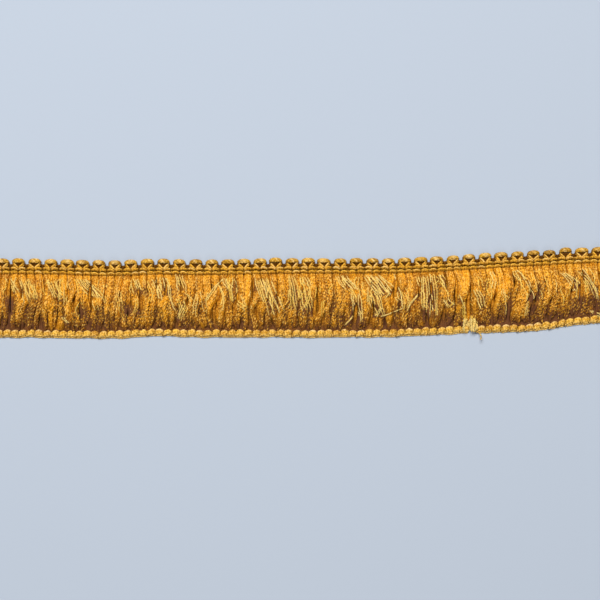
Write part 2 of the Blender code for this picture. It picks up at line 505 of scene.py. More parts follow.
@dataclass(frozen=True)
class YarnFinish:
    """How a kind of yarn looks: its golds, its twist, its fuzz and its shine.

    Deep shade is the colour of the painted shade between and under the strands, and dusk the
    colour of the painted shade over the hem. The twist pitch is the length of one turn of a ply,
    and twist relief how strongly it shows, in the bump and as painted light and shade across each
    ply. Crevice shade is how much painted shade lies between two plies. Grain is the size of the
    fuzz's light and dark specks, and speckle how strong they are. Streak is the length of the
    lighter and darker dashes along each strand, and dash how strong. Cloud and cloudiness say the
    same of the broader lighter and darker places. Tinting is how much a strand's own tint counts.
    Lot apart is how far apart two strands read the noise of their dashes, and dash round how fast
    a dash changes round its strand.
    """

    LOT_APART = 90.0
    DASH_ROUND = 0.4

    name: str
    light: Colour
    middle: Colour
    deep_shade: Colour
    pale: Colour = (0.95, 0.66, 0.24)
    dusk: Colour = (0.095, 0.030, 0.001)
    tinting: float = 0.42
    twist_pitch: float = 1.3 * MM
    twist_relief: float = 0.2
    crevice_shade: float = 0.18
    grain: float = 0.5 * MM
    speckle: float = 1.2
    streak: float = 0.8 * MM
    dash: float = 0.0
    cloud: float = 3.0 * MM
    cloudiness: float = 0.9
    roughness: float = 0.38
    shine: float = 0.3
    shine_colour: Colour = (1.0, 0.74, 0.34)
    bump_height: float = 0.42 * MM

    def material(self) -> bpy.types.Material:
        """Build the yarn's material from the tones that its strands carry.

        Returns:
            A material that reads the strands' own attributes.
        """
        shader = YarnShader(self.name)
        put, maths, added, attribute = shader.put, shader.maths, shader.added, shader.attribute
        surface = shader.surface.inputs
        put(surface["Specular IOR Level"], self.shine)
        put(surface["Specular Tint"], self.shine_colour)
        # The plies of the twist: a wave that runs round the strand as it goes along, which paints light and
        # shade across each ply and raises it in the bump
        ring = shader.nodes.new("ShaderNodeSeparateXYZ")
        put(ring.inputs["Vector"], attribute("ring", "Vector"))
        along = attribute("along")
        turn = maths("MULTIPLY", along, TURN / self.twist_pitch)
        plies = maths(
            "ADD",
            maths("MULTIPLY", maths("SINE", turn), ring.outputs["X"]),
            maths("MULTIPLY", maths("COSINE", turn), ring.outputs["Y"]),
        )
        # The dashes: a noise of each strand's own, that its neighbours don't share
        own = shader.nodes.new("ShaderNodeCombineXYZ")
        put(own.inputs["X"], maths("MULTIPLY", attribute("lot"), self.LOT_APART))
        put(own.inputs["Y"], maths("MULTIPLY", ring.outputs["X"], self.DASH_ROUND))
        put(own.inputs["Z"], maths("MULTIPLY", along, 1.0 / self.streak))
        dashes = shader.noise(own.outputs["Vector"], 1.0, 1.0)
        # The fuzz: specks of light and dark fibres, over broader lighter and darker places
        place = shader.nodes.new("ShaderNodeTexCoord").outputs["Object"]
        specks = shader.noise(place, self.grain, 2.0)
        clouds = shader.noise(place, self.cloud, 1.0)

        # Depth is painted shade: it mixes in the darker shade colour where strands lie low, under others and
        # in hollows, and the dusk colour over the hem
        depth = attribute("depth")
        lit = added(
            0.5,
            (attribute("tint"), self.tinting),
            (plies, self.twist_relief),
            (specks, self.speckle),
            (clouds, self.cloudiness),
            (dashes, self.dash),
        )
        # Pale mixes in a paler colour, partly for lost colour and partly as painted highlight
        pale_and_highlight = added(attribute("pale"), (specks, 0.8 * self.speckle), (dashes, 0.6 * self.dash))
        sunk = added(
            depth,
            (plies, -self.crevice_shade),
            (specks, -0.45 * self.speckle),
            (dashes, -0.3 * self.dash),
            (clouds, -0.4 * self.cloudiness),
        )
        shaded = added(-1.5, (depth, 2.6), (specks, -0.3 * self.speckle), (dashes, -0.12 * self.dash))
        body = shader.blend(lit, self.middle, self.light)
        for share, colour in ((pale_and_highlight, self.pale), (sunk, self.deep_shade), (shaded, self.dusk)):
            body = shader.blend(share, body, colour)
        put(surface["Base Color"], body)
        put(surface["Roughness"], added(self.roughness, (specks, 0.4)))
        bump = shader.nodes.new("ShaderNodeBump")
        put(bump.inputs["Strength"], 1.0)
        put(bump.inputs["Distance"], self.bump_height)
        put(bump.inputs["Height"], added(specks, (plies, self.twist_relief)))
        put(surface["Normal"], bump.outputs["Normal"])
        return shader.material


GIMP_YARN = YarnFinish(
    name="wound_gimp_yarn",
    light=(0.66, 0.355, 0.028),
    middle=(0.30, 0.130, 0.004),
    deep_shade=(0.110, 0.036, 0.001),
    twist_relief=0.25,
)
CROCHET_YARN = YarnFinish(
    name="crochet_yarn",
    light=(0.90, 0.48, 0.042),
    middle=(0.46, 0.19, 0.005),
    deep_shade=(0.130, 0.042, 0.001),
    twist_relief=0.22,
    shine=0.25,
)
LOCK_YARN = YarnFinish(
    name="soft_lock_yarn",
    light=(0.80, 0.335, 0.010),
    middle=(0.37, 0.115, 0.002),
    deep_shade=(0.150, 0.050, 0.006),
    pale=(0.88, 0.52, 0.12),
    dusk=(0.130, 0.050, 0.021),
    twist_relief=0.0,
    crevice_shade=0.0,
    grain=0.55 * MM,
    speckle=2.9,
    cloud=4.0 * MM,
    cloudiness=1.3,
    roughness=0.6,
    shine=0.12,
)
CRIMPED_YARN = YarnFinish(
    name="crimped_yarn",
    light=(0.97, 0.435, 0.015),
    middle=(0.42, 0.130, 0.001),
    deep_shade=(0.130, 0.040, 0.004),
    pale=(0.98, 0.68, 0.20),
    dusk=(0.130, 0.050, 0.021),
    twist_pitch=1.5 * MM,
    crevice_shade=0.12,
    grain=0.55 * MM,
    speckle=1.6,
    streak=1.3 * MM,
    dash=3.6,
    cloud=4.0 * MM,
    cloudiness=1.3,
    roughness=0.42,
)
STRAY_YARN = YarnFinish(
    name="stray_yarn",
    light=(1.0, 0.65, 0.095),
    middle=(0.92, 0.47, 0.026),
    deep_shade=(0.16, 0.05, 0.004),
    pale=(1.0, 0.80, 0.33),
    crevice_shade=0.1,
    speckle=0.4,
    streak=0.9 * MM,
    dash=0.4,
    roughness=0.32,
    shine=0.9,
)
CHAIN_YARN = YarnFinish(
    name="chain_yarn",
    light=(0.92, 0.53, 0.058),
    middle=(0.54, 0.23, 0.006),
    deep_shade=(0.115, 0.038, 0.002),
    pale=(0.97, 0.71, 0.31),
    twist_pitch=1.4 * MM,
    twist_relief=0.25,
    crevice_shade=0.2,
    grain=0.6 * MM,
    speckle=2.2,
)


def hand_over(piece: bpy.types.Object, material: bpy.types.Material, node: str) -> None:
    """Dress a finished piece and let it stand for a solid.

    Args:
        piece: The piece.
        material: Its finish.
        node: The solid that it stands for.
    """
    piece.data.materials.clear()
    piece.data.materials.append(material)
    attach(piece, "root")
    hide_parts(node)
    piece.data.calc_loop_triangles()
    log.info("%s: %d triangles", piece.name, len(piece.data.loop_triangles))


@dataclass
class GimpCord:
    """The wound cord that loops along the top edge and makes the scallops."""

    @dataclass(frozen=True)
    class Odd:
        """A scallop unlike the rest: how much taller it is, in millimetres, and how much darker."""

        scallop: int
        taller: float
        darker: float

    trim: Trim
    loom: Loom
    plies: int = 5
    ply_circle: float = 0.80 * MM
    ply_radius: float = 0.50 * MM
    core_radius: float = 0.70 * MM
    leg_share: float = 0.36
    thinning: float = 2.6
    leg_shade: float = 0.75
    spread: float = 0.58 * MM
    taller: float = 0.42 * MM
    uneven_height: float = 0.13 * MM
    uneven_place: float = 0.22 * MM
    roundness: float = 1.25
    lead: float = 4.4 * MM
    top_height: float = 1.9 * MM
    low_height: float = 1.0 * MM
    low_line: float = 2.95 * MM
    upright: float = 0.85
    steps: int = 26
    odd: tuple[Odd, ...] = (Odd(9, 0.25, 0.0), Odd(17, 0.35, 0.15), Odd(34, -0.3, 0.4), Odd(35, 0.45, 0.0))
    seed: int = 11

    @property
    def turns(self) -> np.ndarray:
        """The places along the cord, counted in scallops from its start."""
        return np.arange(1, self.trim.scallops * self.steps) / self.steps

    @property
    def arch(self) -> np.ndarray:
        """How far up its scallop each place is, from 0 in the valley to 1 on top."""
        return (1 - np.cos(TURN * self.turns)) / 2

    def path(self) -> np.ndarray:
        """Lay out the cord's middle line.

        Returns:
            An arch for each scallop, and a bend hidden behind each valley.
        """
        rng = np.random.default_rng(self.seed)
        trim, turns, arch = self.trim, self.turns, self.arch
        scallop = turns.astype(int)
        angle = TURN * turns
        top_line = trim.scallop_top - self.ply_circle - self.ply_radius
        lift = rng.normal(self.taller, self.uneven_height, trim.scallops)
        shift = rng.normal(0.0, self.uneven_place, trim.scallops)
        widen = self.spread * rng.uniform(0.85, 1.45, trim.scallops)
        for odd in self.odd:
            lift[odd.scallop] = self.taller + odd.taller * MM
        sway = self.upright * trim.scallop_pitch / (2 * TURN)
        x = -trim.length / 2 + trim.scallop_pitch * turns + sway * np.sin(2 * angle) + shift[scallop] * arch
        x -= widen[scallop] * np.sin(angle)
        rise = 1 - (1 - arch) ** self.roundness
        y = self.low_line + (top_line - self.low_line + lift[scallop]) * rise
        z = self.low_height + (self.top_height - self.low_height) * arch
        return trim.lay(np.column_stack([x, y, z]))

    def build(self) -> bpy.types.Object:
        """Wind the plies round the cord's core.

        Returns:
            The cord as one piece.
        """
        rng = np.random.default_rng(self.seed + 1)
        path, arch = self.path(), self.arch
        scallop = self.turns.astype(int)
        thick = self.leg_share + (1 - self.leg_share) * arch**self.thinning
        tint = rng.normal(0.0, 0.4, self.trim.scallops)
        darker = np.zeros(self.trim.scallops)
        for odd in self.odd:
            darker[odd.scallop] = odd.darker
        # The legs, where the cord dives under, and the hidden core carry painted shade, and the odd scallops
        # are darker still
        low = self.leg_shade * (1 - ease(arch, 0.35, 0.90)) + darker[scallop]
        strands = [Strand(path[::2], self.core_radius * thick[::2], depth=self.leg_shade)]
        for line in twisted(path, self.plies, self.ply_circle * thick[:, None], self.lead, 0.0, Ply.Z):
            # Painted highlight on the top of each arch
            pale = ease(arch, 0.90, 1.0) * rng.beta(0.8, 1.4, self.trim.scallops)[scallop]
            shown = tint[scallop] + rng.uniform(-0.8, 0.8, self.trim.scallops)[scallop]
            strands.append(Strand(line, self.ply_radius * thick, shown, low, pale))
        return self.loom.weave("gimp_cord_plies", strands, 6)

    def dress(self, piece: bpy.types.Object) -> None:
        """Give the cord its yarn."""
        hand_over(piece, GIMP_YARN.material(), "gimp_cord")


@dataclass
class CrochetBand:
    """The crocheted heading: arched stitches over straight ground cords.

    The unevenness of a stitch's lean and place is in degrees and millimetres, as its row is.
    """

    @dataclass(frozen=True)
    class Row:
        """One row of stitches: its place, its size and its lean, in millimetres and degrees.

        Outward is how far a stitch is pushed away from the middle of its scallop, and thick its
        thickness as a share of the usual one.
        """

        across: float
        outward: float
        half_width: float
        rise: float
        lean: float
        low: float
        crown: float
        thick: float

    trim: Trim
    loom: Loom
    rows: tuple[Row, ...] = (
        Row(2.25, -0.40, 1.80, 0.10, 47.0, 1.2, 1.5, 1.35),
        Row(0.95, -0.04, 1.80, 0.85, 8.0, 1.2, 2.1, 1.1),
        Row(-0.85, -0.04, 1.84, 0.90, 0.0, 0.9, 2.2, 1.2),
    )
    ply_radius: float = 0.29 * MM
    ply_apart: float = 0.27 * MM
    points: int = 10
    uneven_lean: float = 3.5
    uneven_place: float = 0.07
    ground_cords: int = 7
    ground_points: int = 260
    ground_radius: float = 0.58 * MM
    ground_ripple: float = 0.08 * MM
    ground_low: float = -1.7 * MM
    ground_high: float = 2.6 * MM
    ground_shown: float = 1.2 * MM
    pad_points: int = 5
    pad_half: float = 1.7 * MM
    pad_line: float = 3.5 * MM
    pad_height: float = 0.8 * MM
    pad_radius: float = 0.76 * MM
    seed: int = 23

    def stitch(self, column: int, row: Row, rng: np.random.Generator) -> list[Strand]:
        """One arched stitch, a pair of plies side by side.

        Args:
            column: Which stitch along the trim it is.
            row: The row that it belongs to.
            rng: Where its unevenness comes from.

        Returns:
            Its two plies.
        """
        t = np.linspace(-1.0, 1.0, self.points)
        leg = -1 if column % 2 == 0 else 1
        lean = math.radians(leg * row.lean + rng.normal(0.0, self.uneven_lean))
        u = row.half_width * t
        shift_x, shift_y = rng.normal(0.0, self.uneven_place, 2)
        apart = row.thick * self.ply_apart / MM
        plies = []
        for side in (-1, 1):
            w = row.rise * (0.6 - t * t) + side * apart * rng.uniform(0.85, 1.15)
            x = u * math.cos(lean) - w * math.sin(lean) + leg * row.outward + shift_x
            y = u * math.sin(lean) + w * math.cos(lean) + row.across + shift_y
            z = row.low + (row.crown + 0.1 * side) * np.sqrt(1 - 0.95 * np.abs(t) ** 3.2)
            path = np.column_stack([x, y, z]) * MM
            path[:, 0] += self.trim.stitch_x(column)
            # Painted shade on the lower ply and on the ends, which dive under; painted light and painted
            # highlight on the upper ply
            depth = 0.42 * (side < 0) + 0.9 * np.abs(t) ** 6
            radius = row.thick * self.ply_radius * (1.0 - 0.3 * t**6) * rng.uniform(0.92, 1.08)
            tint = rng.uniform(-0.4, 0.7) + 0.4 * side
            pale = rng.beta(0.7, 2.5) * (side > 0)
            plies.append(Strand(self.trim.lay(path), radius, tint, depth, pale))
        return plies

    def ground(self) -> list[Strand]:
        """Lay the straight cords under the stitches, which close the band's back.

        Returns:
            The cords, from the brush to the scallops.
        """
        rng = np.random.default_rng(self.seed + 1)
        x = np.linspace(-self.trim.length / 2, self.trim.length / 2, self.ground_points)
        angle = TURN * x / self.trim.pitch
        cords = []
        for across in np.linspace(self.ground_low, self.ground_high, self.ground_cords):
            y = across + self.ground_ripple * np.sin(angle)
            z = self.ground_radius * (1.75 + 0.25 * np.cos(angle + across / MM))
            path = self.trim.lay(np.column_stack([x, y, z]))
            # The cords carry painted shade, the most where the stitches hide them
            depth = 0.38 if across < self.ground_shown else 1.0
            cords.append(Strand(path, self.ground_radius, tint=rng.uniform(-0.5, 0.3), depth=depth))
        return cords

    def pads(self) -> list[Strand]:
        """Lay a short cord low down inside each scallop, which closes its opening, painted all in shade.

        Returns:
            One cord for each scallop.
        """
        along = np.linspace(-self.pad_half, self.pad_half, self.pad_points)
        line = np.full(self.pad_points, self.pad_line)
        height = np.full(self.pad_points, self.pad_height)
        made = []
        for scallop in range(self.trim.scallops):
            path = np.column_stack([self.trim.stitch_x(2 * scallop + 0.5) + along, line, height])
            made.append(Strand(self.trim.lay(path), self.pad_radius, depth=1.0))
        return made

    def build(self) -> bpy.types.Object:
        """Crochet every row over the ground cords and the pads.

        Returns:
            The band as one piece.
        """
        rng = np.random.default_rng(self.seed)
        strands = self.ground() + self.pads()
        for row in self.rows:
            for column in range(self.trim.stitches):
                strands.extend(self.stitch(column, row, rng))
        return self.loom.weave("crochet_heading", strands, 6)

    def dress(self, piece: bpy.types.Object) -> None:
        """Give the band its yarn."""
        hand_over(piece, CROCHET_YARN.material(), "heading_band")


@dataclass(frozen=True)
class Fan:
    """A few crimped yarns that lie together over the locks.

    Start and end are shares of the way down the brush. The rest are in millimetres: where the
    fan starts along the trim, how far it runs sideways, how it bows, how far apart its yarns lie
    and how much higher than usual. Pale is how much paler its yarns are, from lost colour and
    from painted highlight.
    """

    along: float
    start: float
    sideways: float
    end: float
    count: int
    pale: float
    bow: float = 0.0
    spacing: float = 1.25
    lift: float = 0.0

    def middle(self, t: np.ndarray) -> np.ndarray:
        """The fan's middle line along the trim, in millimetres, at shares of its own length."""
        return self.along + self.sideways * t + self.bow * np.sin(math.pi * t)

    def cover(self, x: np.ndarray, down: np.ndarray) -> np.ndarray:
        """How far a place lies in the fan's shade.

        Args:
            x: Places along the trim.
            down: Shares of the way down the brush.

        Returns:
            1 under the fan's middle, falling to 0 outside it.
        """
        t = (down - self.start) / (self.end - self.start)
        within = ease(t, -0.1, 0.15) * (1.0 - ease(t, 0.85, 1.1))
        half = 0.5 * self.spacing * self.count + 0.3
        return within * np.exp(-(((x / MM - self.middle(np.clip(t, 0.0, 1.0))) / half) ** 4))


@dataclass(frozen=True)
class Hollow:
    """A place where the locks have parted and sunk: its middle, its half sizes and its depth.

    Down and its half size are shares of the way down the brush, and the rest are in millimetres.
    Shade is how much painted shade the yarn carries there, and below 0 how much painted light.
    """

    along: float
    down: float
    half_along: float
    half_down: float
    depth: float
    shade: float

    def share(self, x: np.ndarray, down: np.ndarray) -> np.ndarray:
        """How far a place lies in the hollow, from 0 outside it to 1 in its middle."""
        across = (x / MM - self.along) / self.half_along
        return np.exp(-(across**2) - ((down - self.down) / self.half_down) ** 2)


@dataclass
class Tuft:
    """One soft bundle of fibres in a lock, as a thick line down the straight trim."""

    down: np.ndarray
    points: np.ndarray
    radius: np.ndarray
    depth: np.ndarray
    tint: float


class Relief:
    """The height of the brush's face over the table, on a fine grid of the straight trim."""

    STEP = 0.25 * MM
    ROWS = 57
    BED = 0.5 * MM
    LEVEL_WIDTH = 4.0 * MM

    def __init__(self, tufts: Sequence[Tuft], length: float) -> None:
        """Measure the tufts.

        Args:
            tufts: The tufts that make the face.
            length: The trim's length.
        """
        self.start = -length / 2
        grid = np.full((self.ROWS, int(length / self.STEP) + 2), self.BED)
        places = self.start + self.STEP * np.arange(grid.shape[1])
        at = np.linspace(0.0, 1.0, self.ROWS)
        for tuft in tufts:
            lines = (tuft.points[:, 0], tuft.points[:, 2], tuft.radius)
            x, z, radius = (np.interp(at, tuft.down, line) for line in lines)
            for row in range(self.ROWS):
                first, last = np.searchsorted(places, (x[row] - radius[row], x[row] + radius[row]))
                across = places[first:last] - x[row]
                top = z[row] + np.sqrt(np.maximum(radius[row] ** 2 - across**2, 0.0))
                grid[row, first:last] = np.maximum(grid[row, first:last], top)
        padded = np.pad(grid, 1, mode="edge")
        beside = padded[1:-1, :-2] + 2 * padded[1:-1, 1:-1] + padded[1:-1, 2:]
        self.soft = (beside + padded[:-2, 1:-1] + padded[2:, 1:-1]) / 6
        width = int(self.LEVEL_WIDTH / self.STEP)
        kernel = np.ones(width) / width
        wide = np.pad(self.soft, ((0, 0), (width, width)), mode="edge")
        self.level = np.array([np.convolve(row, kernel, "same")[width:-width] for row in wide])

    def read(self, grid: np.ndarray, x: np.ndarray, down: np.ndarray) -> np.ndarray:
        """Read a grid between its points.

        Args:
            grid: The grid of heights.
            x: Places along the trim.
            down: Shares of the way down the brush.

        Returns:
            The height at each place.
        """
        column = np.clip((x - self.start) / self.STEP, 0.0, grid.shape[1] - 1.001)
        row = np.clip(down * (self.ROWS - 1), 0.0, self.ROWS - 1.001)
        c, r = column.astype(int), row.astype(int)
        u, v = column - c, row - r
        near = grid[r, c] * (1 - u) + grid[r, c + 1] * u
        far = grid[r + 1, c] * (1 - u) + grid[r + 1, c + 1] * u
        return near * (1 - v) + far * v

    def top(self, x: np.ndarray, down: np.ndarray) -> np.ndarray:
        """The face's height, softened a little."""
        return self.read(self.soft, x, down)

    def sunk(self, x: np.ndarray, down: np.ndarray) -> np.ndarray:
        """How far the face lies under its mean height round about."""
        return self.read(self.level, x, down) - self.read(self.soft, x, down)


@dataclass
class Brush:
    """The brush: soft locks, a front and a back one for each stitch, with yarns over them.

    The fans' height, waver and sway are in millimetres, as a fan's own sizes are.
    """

    @dataclass(frozen=True)
    class Place:
        """Where one tuft lies in its lock, in millimetres, its thickness as a share, and its painted shade.
        """

        across: float
        lift: float
        thick: float
        depth: float

    trim: Trim
    loom: Loom
    root_line: float = -1.5 * MM
    hem_line: float = -29.9 * MM
    sections: tuple[Section, ...] = (
        Section(0.00, 2.5, 0.85),
        Section(0.03, 3.4, 0.95),
        Section(0.10, 4.9, 1.08),
        Section(0.25, 6.4, 1.12),
        Section(0.42, 7.1, 1.12),
        Section(0.60, 6.6, 1.05),
        Section(0.76, 5.1, 0.90),
        Section(0.88, 3.5, 0.68),
        Section(0.95, 2.6, 0.52),
        Section(1.00, 2.2, 0.45),
    )
    places: tuple[Place, ...] = (
        Place(-0.92, -0.55, 1.00, 0.08),
        Place(0.92, -0.55, 1.00, 0.08),
        Place(0.0, 0.0, 1.12, 0.0),
        Place(0.0, -1.6, 1.0, 0.4),
    )
    hollows: tuple[Hollow, ...] = (
        Hollow(-138.0, 0.58, 2.6, 0.18, 1.2, 0.5),
        Hollow(-128.0, 0.80, 3.0, 0.12, 0.6, 0.35),
        Hollow(-104.0, 0.62, 2.4, 0.14, 1.6, 0.6),
        Hollow(-96.0, 0.66, 2.0, 0.14, 1.2, 0.5),
        Hollow(-91.5, 0.74, 2.6, 0.12, 0.6, 0.4),
        Hollow(-84.0, 0.58, 1.8, 0.16, 1.4, 0.6),
        Hollow(-75.0, 0.30, 2.6, 0.07, 0.9, 0.45),
        Hollow(-78.5, 0.64, 2.6, 0.13, 1.0, 0.5),
        Hollow(-57.7, 0.66, 1.8, 0.12, 1.6, 0.5),
        Hollow(-49.5, 0.52, 1.7, 0.10, 0.8, 0.5),
        Hollow(-34.0, 0.38, 1.6, 0.18, 1.5, 0.4),
        Hollow(-22.5, 0.28, 1.6, 0.07, 0.5, 0.4),
        Hollow(17.0, 0.55, 3.2, 0.10, 0.5, 0.35),
        Hollow(48.5, 0.60, 2.6, 0.14, 0.5, 0.3),
        Hollow(65.4, 0.40, 2.0, 0.20, 0.8, 0.45),
        Hollow(69.3, 0.10, 5.5, 0.03, 1.4, 0.25),
        Hollow(72.6, 0.42, 1.8, 0.16, 0.8, 0.4),
        Hollow(78.2, 0.33, 3.4, 0.28, -0.8, -0.25),
        Hollow(80.3, 0.80, 2.2, 0.17, -0.4, -0.6),
        Hollow(89.0, 0.26, 1.5, 0.09, 0.8, 0.5),
        Hollow(98.5, 0.86, 5.5, 0.12, 0.9, 0.35),
        Hollow(101.0, 0.47, 1.3, 0.10, 0.9, 0.4),
        Hollow(115.5, 0.38, 3.0, 0.12, 0.6, 0.4),
        Hollow(116.0, 0.84, 8.0, 0.12, 0.6, 0.3),
        Hollow(133.0, 0.72, 3.4, 0.14, 1.2, 0.5),
        Hollow(141.0, 0.78, 4.0, 0.16, 1.2, 0.5),
    )
    random_dents: int = 150
    fans: tuple[Fan, ...] = (
        Fan(-140.0, 0.07, 3.8, 0.35, 4, 0.7),
        Fan(-132.3, 0.12, 3.8, 0.48, 5, 0.6),
        Fan(-119.3, 0.10, 3.8, 0.46, 5, 0.6),
        Fan(-114.0, 0.72, 2.4, 0.86, 2, 0.9),
        Fan(-104.4, 0.07, 8.0, 0.42, 7, 0.6),
        Fan(-79.4, 0.07, 1.9, 0.34, 4, 0.7),
        Fan(-70.2, 0.08, 4.3, 0.48, 2, 0.8),
        Fan(-65.4, 0.05, 1.4, 0.30, 4, 0.7),
        Fan(-62.0, 0.20, 2.4, 0.65, 2, 0.9, -1.2),
        Fan(-58.7, 0.00, 2.4, 0.30, 4, 0.7),
        Fan(-55.3, 0.53, -3.4, 0.82, 2, 0.7),
        Fan(-36.6, 0.03, -8.2, 0.47, 2, 0.9, -0.6),
        Fan(-36.6, 0.06, 3.4, 0.28, 3, 0.7),
        Fan(-31.5, 0.06, 0.8, 0.50, 3, 0.8),
        Fan(-20.0, 0.07, 3.5, 0.50, 5, 0.7),
        Fan(-16.8, 0.07, 5.5, 0.70, 6, 0.8),
        Fan(-4.5, 0.03, 3.0, 0.60, 4, 0.5),
        Fan(1.9, 0.06, 1.5, 0.22, 4, 0.8),
        Fan(1.5, 0.25, 2.5, 0.70, 5, 0.5),
        Fan(19.2, 0.03, 5.6, 0.28, 6, 0.9),
        Fan(26.5, 0.33, 1.5, 0.85, 5, 0.7),
        Fan(27.0, 0.60, -5.5, 0.90, 2, 1.0, 0.8),
        Fan(27.0, 0.60, 2.0, 0.72, 2, 0.9),
        Fan(34.0, 0.03, 8.0, 0.40, 9, 0.9),
        Fan(35.0, 0.35, 3.0, 0.75, 6, 0.5),
        Fan(39.0, 0.73, 10.0, 0.60, 1, 1.0, lift=0.3),
        Fan(39.0, 0.58, -2.5, 0.74, 2, 0.8),
        Fan(45.2, 0.01, 3.8, 0.61, 1, 1.0, 0.8, lift=0.3),
        Fan(57.3, 0.33, -6.2, 0.68, 2, 0.9, -0.8),
        Fan(61.3, 0.02, 1.0, 0.82, 7, 0.7),
        Fan(67.6, 0.05, 2.0, 0.30, 3, 0.7),
        Fan(69.7, 0.48, 2.6, 0.62, 3, 0.8),
        Fan(76.0, 0.42, 6.5, 0.80, 1, 1.0, -1.2, lift=0.4),
        Fan(78.0, 0.69, 7.0, 0.97, 2, 0.5, 0.6),
        Fan(79.0, 0.55, 2.4, 0.94, 7, 0.05, spacing=0.6),
        Fan(81.3, 0.84, 0.5, 1.05, 26, 0.9, spacing=0.27, lift=0.9),
        Fan(85.6, 1.05, 1.0, 1.19, 1, 0.2, 0.6),
        Fan(84.5, 0.35, 3.4, 0.70, 3, 0.8),
        Fan(103.5, 0.06, 3.4, 0.25, 4, 0.7),
        Fan(108.3, 0.22, 2.6, 0.60, 2, 0.9, 0.8),
        Fan(126.5, 0.15, 6.7, 0.48, 4, 0.9, 0.8),
        Fan(134.2, 0.10, 8.2, 0.72, 3, 1.0, 1.2),
        Fan(140.0, 0.85, 4.3, 1.00, 3, 0.9),
    )
    tuft_points: int = 27
    tuft_swell: float = 0.10
    parting: float = 1.0 * MM
    crowding: float = 0.45 * MM
    drift: float = -1.3 * MM
    common_sway: float = 1.2 * MM
    own_sway: float = 0.6 * MM
    pride: float = 0.75 * MM
    waver: float = 0.35 * MM
    bed: float = 0.3 * MM
    back_tufts: int = 4
    back_points: int = 12
    back_drop: float = 2.6 * MM
    back_sway: float = 0.3 * MM
    back_radius: float = 0.84 * MM
    back_low: float = 0.78 * MM
    back_clear: float = 0.02 * MM
    yarns_per_tuft: int = 4
    yarn_reach: float = 0.75 * MM
    yarn_shift: float = 0.12 * MM
    yarn_waver: float = 0.18 * MM
    sunk_shade: float = 220.0
    straying: float = 0.8 * MM
    crimp_radius: float = 0.27 * MM
    crimp: float = 0.20 * MM
    crimp_shade: float = 0.85
    patch_shade: float = 1.45
    crimp_lead: float = 1.9 * MM
    crimp_step: float = 0.41 * MM
    random_fans: int = 80
    fan_shade: float = 0.6
    fan_dent: float = 0.30 * MM
    fan_height: float = 0.34
    fan_waver: float = 0.14
    fan_sway: float = 0.30
    fan_tuck: float = 0.7 * MM
    ply_radius: float = 0.19 * MM
    ply_circle: float = 0.17 * MM
    ply_lead: float = 2.8 * MM
    ply_step: float = 0.40 * MM
    seed: int = 37

    def hollow(self, x: np.ndarray, down: np.ndarray) -> np.ndarray:
        """How far the brush has sunk, in metres.

        Args:
            x: Places along the trim.
            down: Shares of the way down the brush.

        Returns:
            The depth of the hollows there.
        """
        return sum(row.depth * MM * row.share(x, down) for row in (*self.hollows, *self.dents))

    @cached_property
    def dents(self) -> list[Hollow]:
        """Strew small hollows and swellings between the ones that are listed.

        Returns:
            The hollows, with a shade below 0, painted light, where the brush swells.
        """
        rng = np.random.default_rng(self.seed + 4)
        half = self.trim.length / 2 / MM
        made = []
        for _ in range(self.random_dents):
            down = rng.uniform(0.22, 0.86)
            shade = rng.uniform(0.15, 0.55) * rng.choice([1.0, 1.0, -0.6]) * ease(down, 0.1, 0.5)
            size = rng.uniform(1.0, 2.8)
            along = rng.uniform(-half, half)
            tall = rng.uniform(0.05, 0.16)
            made.append(Hollow(along, down, size, tall, 0.8 * shade, shade))
        return made

    def across(self, down: np.ndarray) -> np.ndarray:
        """Where a share of the way down the brush lies across the straight trim."""
        return self.root_line + (self.hem_line - self.root_line) * down

    def crown(self, x: np.ndarray, down: np.ndarray) -> np.ndarray:
        """The height of the brush's face.

        Args:
            x: Places along the trim.
            down: Shares of the way down the brush.

        Returns:
            The height over the table of the locks' tops.
        """
        height = Profile(self.sections, "down").read("crown", down) * MM
        return height * self.trim.bend("fullness", x) - self.hollow(x, down)

    def tufts(self) -> list[Tuft]:
        """The tufts of every front lock.

        Returns:
            The tufts, those of one lock after those of the one before.
        """
        rng = np.random.default_rng(self.seed)
        profile = Profile(self.sections, "down")
        made = []
        whole = np.linspace(0.0, 1.0, self.tuft_points)
        loose = ease(whole, 0.12, 0.55)
        shared = np.array([wave(rng, whole, 1.2) for _ in range(self.trim.stitches // 3 + 2)])
        for column in range(self.trim.stitches):
            home = self.trim.stitch_x(column)
            swing = float(self.trim.bend("swing", home)) * MM
            group, part = divmod(column / 3, 1.0)
            lean = shared[int(group)] * (1.0 - part) + shared[int(group) + 1] * part
            bent = self.common_sway * lean + self.own_sway * wave(rng, whole, 1.3)
            sway = bent * np.sin(math.pi * whole) ** 0.7
            proud = loose * (1.0 - ease(whole, 0.8, 1.0)) * wave(rng, whole, 1.6)
            pushed = rng.normal(0.0, self.crowding) * ease(whole, 0.05, 0.35)
            sway += self.drift * ease(whole, 0.35, 0.95) + pushed
            tint = rng.normal(0.0, 0.25)
            for place in self.places:
                end = rng.uniform(0.92, 1.0) if place.depth > 0.2 else rng.uniform(0.86, 1.0)
                down = whole * end
                free = np.sin(math.pi * down) ** 0.8
                gather = (1.0 - 0.25 * ease(down, 0.70, 1.0)) * (1.0 + 0.25 * proud)
                x = home + swing * free + sway + place.across * MM * gather
                x += self.parting * loose * (1.0 - 0.5 * ease(down, 0.7, 1.0)) * wave(rng, down, 1.3)
                radius = profile.read("tuft", down) * MM * place.thick * rng.uniform(0.86, 1.16)
                radius *= (1.0 + self.tuft_swell * wave(rng, down, 5.0)) * (1.0 + 0.15 * proud)
                radius *= (1.0 + 0.45 * ease(down, 0.65, 0.95)) * (1.0 - 0.5 * ease(whole, 0.92, 1.0))
                top = self.crown(x, down) + place.lift * MM * (0.3 + 0.7 * free) + self.pride * proud
                top += self.waver * loose * wave(rng, down, 1.5)
                z = np.maximum(top - radius, radius + self.bed)
